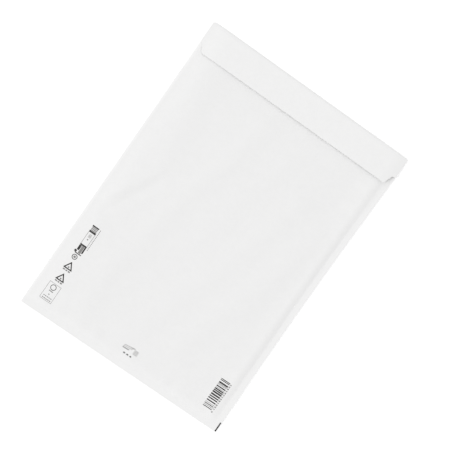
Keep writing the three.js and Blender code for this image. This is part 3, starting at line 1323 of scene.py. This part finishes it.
MARKS = (
    Mark(
        "print_label",
        (
            Bars(-132.8, -87.4, 10.2, 1.9),
            Bars(-132.8, -95.7, 10.2, 2.5),
            Bars(-132.8, -116.9, 10.2, 2.2),
            Bars(-136.2, -122.0, 3.4, 7.6),
            Bars(-128.7, -122.8, 2.0, 9.4),
            Bars(-132.8, -130.2, 10.2, 1.2),
            Bars(-138.1, -128.0, 3.4, 3.0),
        ),
        (
            Bars(-132.8, -89.5, 9.0, 1.4, 3, 0, -2.0),
            Bars(-132.0, -123.6, 3.8, 11.0),
            Bars(-137.65, -106.4, 0.5, 18.8, 2, 9.7),
            Bars(-132.8, -99.6, 4.2, 0.6, 4, 0, -1.4),
            Disc(-132.8, -107.2, 1.0, 16),
            Bars(-125.2, -88.0, 1.1, 1.4, 14, 0, -2.4),
        ),
    ),
    Mark("print_ring", (Disc(-134.1, -136.0, 3.9, line=0.95),), (Disc(-134.1, -136.0, 1.7, 24),)),
    triangle_mark("print_triangle_1", -151.0),
    triangle_mark("print_triangle_2", -169.8),
    Mark(
        "print_panel",
        (Disc(-133.9, -186.5, 4.2, line=0.85),),
        (
            Bars(-133.7, -207.075, 18.2, 0.45, 2, 0, 25.95),
            Bars(-142.575, -194.1, 0.45, 25.5, 2, 17.75),
            Bars(-133.7, -192.5, 6.6, 1.2),
            Disc(-133.9, -197.4, 0.9, 16),
            Bars(-139.1, -201.5, 1.9, 1.1, 5, 2.8),
            Bars(-139.1, -204.9, 2.2, 1.1, 5, 2.8),
        ),
    ),
    Mark(
        "print_centre_mark",
        (
            Bars(-7.8, -199.5, 9.6, 0.9, turn=3),
            Bars(-6.2, -205.8, 2.6, 1.8),
            Bars(-1.1, -205.8, 2.5, 1.8),
            Bars(4.0, -205.8, 2.2, 1.8),
        ),
        (
            Bars(-11.2, -196.5, 0.8, 4.6, 5, 2.9, 0.35, -22),
            Bars(7.4, -195.2, 6.6, 0.7, 4, 0, -1.8),
            Bars(1.8, -194.0, 4.8, 0.9, turn=12),
        ),
    ),
    barcode_mark("print_barcode"),
    Mark("print_register_mark", (Bars(158.6, -219.7, 1.9, 14.2),)),
)


@dataclass(frozen=True)
class Print:
    """Presses the printed marks onto the front panel."""

    form: EnvelopeForm
    dark: bpy.types.Material
    pale: bpy.types.Material
    ink: float = 0.05 * MM
    sunk: float = 0.015 * MM

    def press(
        self, name: str, shapes: list[bpy.types.Object], material: bpy.types.Material
    ) -> bpy.types.Object:
        """Joins flat shapes and lays them on the front panel.

        Args:
            name: The new piece's name.
            shapes: The flat shapes.
            material: Their ink.

        Returns:
            The finished piece.
        """
        bpy.ops.object.select_all(action="DESELECT")
        for shape in shapes:
            shape.select_set(True)
        bpy.context.view_layer.objects.active = shapes[0]
        if len(shapes) > 1:
            bpy.ops.object.join()
        mark = shapes[0]
        mark.name = name
        mark.data.name = name
        places = read_places(mark)
        x, y = places[:, 0].copy(), places[:, 1].copy()
        places[:, 0] = self.form.pulled(x, y)
        places[:, 2] = self.form.front(x, y) + self.ink - self.sunk
        write_places(mark, places)
        thicken(mark, self.ink, Vector((0, 0, 1)))
        return finish_piece(mark, material, None)

    def build(self) -> None:
        """Prints every mark, and the grey parts of them all as one piece."""
        for mark in MARKS:
            shapes = [shape for part in mark.dark for shape in part.draw()]
            self.press(mark.name, shapes, self.dark)
        tints = [shape for mark in MARKS for part in mark.tint for shape in part.draw()]
        self.press("print_tint", tints, self.pale)


@dataclass(frozen=True)
class Studio:
    """Plain pale floor, soft light and the camera."""

    sky_share: float = 0.885
    sun_share: float = 0.115
    sun_from: tuple[float, float, float] = (-0.85, -0.4, 0.9)
    sun_angle: float = 32.0
    floor_size: float = 6.0
    floor_drop: float = 0.2 * MM
    floor_tone: float = 0.97
    floor_lift: float = 0.23
    camera_place: tuple[float, float, float] = (-0.08706, 0.06147, 1.2182)
    camera_aim: tuple[float, float, float] = (0.00724, 0.01337, 0.0)
    camera_roll: float = -35.02
    focal_pixels: float = 904.7
    frame_pixels: float = 450.0
    sensor: float = 36.0

    def floor(self) -> None:
        """Lays the floor, white to the camera, with the envelope's shadow left on it."""
        bpy.ops.object.select_all(action="DESELECT")
        bpy.ops.mesh.primitive_plane_add(size=self.floor_size, location=(0, 0, -self.floor_drop))
        floor = bpy.context.active_object
        floor.name = "studio_floor"
        material, shader = Shader.material("studio_floor")
        matt = shader.node("ShaderNodeBsdfDiffuse", {}, {"Color": grey(self.floor_tone)})
        lift = shader.seen() * self.floor_lift
        glow = shader.node("ShaderNodeEmission", {}, {"Color": grey(1.0), "Strength": lift})
        both = shader.node("ShaderNodeAddShader", {}, {0: shader.wire(matt), 1: shader.wire(glow)})
        shader.node("ShaderNodeOutputMaterial", {}, {"Surface": shader.wire(both)})
        floor.data.materials.append(material)

    def sky(self) -> None:
        """Fills the surroundings with even light, white where the camera sees them."""
        world = bpy.data.worlds.new("studio_sky")
        world.use_nodes = True
        bpy.context.scene.world = world
        shader = Shader(world.node_tree)
        strength = shader.seen() * (1.0 - self.sky_share) + self.sky_share
        back = shader.node("ShaderNodeBackground", {}, {"Color": grey(1.0), "Strength": strength})
        shader.node("ShaderNodeOutputWorld", {}, {"Surface": shader.wire(back)})

    def sun(self) -> None:
        """Hangs one broad soft light on the folded side."""
        direction = Vector(self.sun_from).normalized()
        light = bpy.data.lights.new("studio_light", "SUN")
        light.energy = math.pi * self.sun_share / direction.z
        light.angle = math.radians(self.sun_angle)
        lamp = bpy.data.objects.new("studio_light", light)
        lamp.rotation_euler = direction.to_track_quat("Z", "Y").to_euler()
        bpy.context.scene.collection.objects.link(lamp)

    def camera(self) -> None:
        """Sets the camera over the envelope, turned as in the photograph."""
        data = bpy.data.cameras.new("camera")
        data.sensor_width = self.sensor
        data.sensor_fit = "HORIZONTAL"
        data.lens = self.focal_pixels * self.sensor / self.frame_pixels
        camera = bpy.data.objects.new("camera", data)
        place = Vector(self.camera_place)
        look = (Vector(self.camera_aim) - place).normalized()
        roll = math.radians(self.camera_roll)
        up = Vector((math.sin(roll), math.cos(roll), 0.0))
        side = look.cross(up).normalized()
        up = side.cross(look)
        turn = Matrix((side, up, -look)).transposed().to_4x4()
        camera.matrix_world = Matrix.Translation(place) @ turn
        bpy.context.scene.collection.objects.link(camera)
        bpy.context.scene.camera = camera

    def build(self) -> None:
        """Sets up the whole studio."""
        self.camera()
        self.floor()
        self.sky()
        self.sun()
        bpy.context.scene.view_settings.view_transform = "Standard"


def main() -> None:
    """Builds the studio and the envelope's pieces in order."""
    logging.basicConfig(level=logging.INFO, format="%(name)s: %(message)s")
    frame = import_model()
    log.info("frame: %d solids", len(frame["nodes"]))
    low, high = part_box("paper_envelope")
    form = EnvelopeForm(width=high.x - low.x, length=high.y - low.y)
    Studio().build()

    PaperEnvelope(form, FlapOutline()).build(PaperFinish().build())
    liner = BubbleLiner(form).build(FilmFinish().build())
    strip_gap = 0.2 * MM
    glue = 0.25 * MM
    cover = 0.12 * MM
    adhesive = ClosingStrip(form, "flap_adhesive", "adhesive_strip", strip_gap, glue, Slot.GLUE)
    adhesive.build(GlueFinish().build())
    release = ClosingStrip(
        form, "flap_release_paper", "release_strip", 2 * strip_gap + glue, cover, Slot.RELEASE
    )
    release.build(ReleaseFinish().build())
    tint = InkFinish("printing_ink_tint", (0.2, 0.195, 0.19, 1.0), (0.34, 0.335, 0.33, 1.0))
    Print(form, InkFinish().build(), tint.build()).build()


if __name__ == "__main__":
    main()
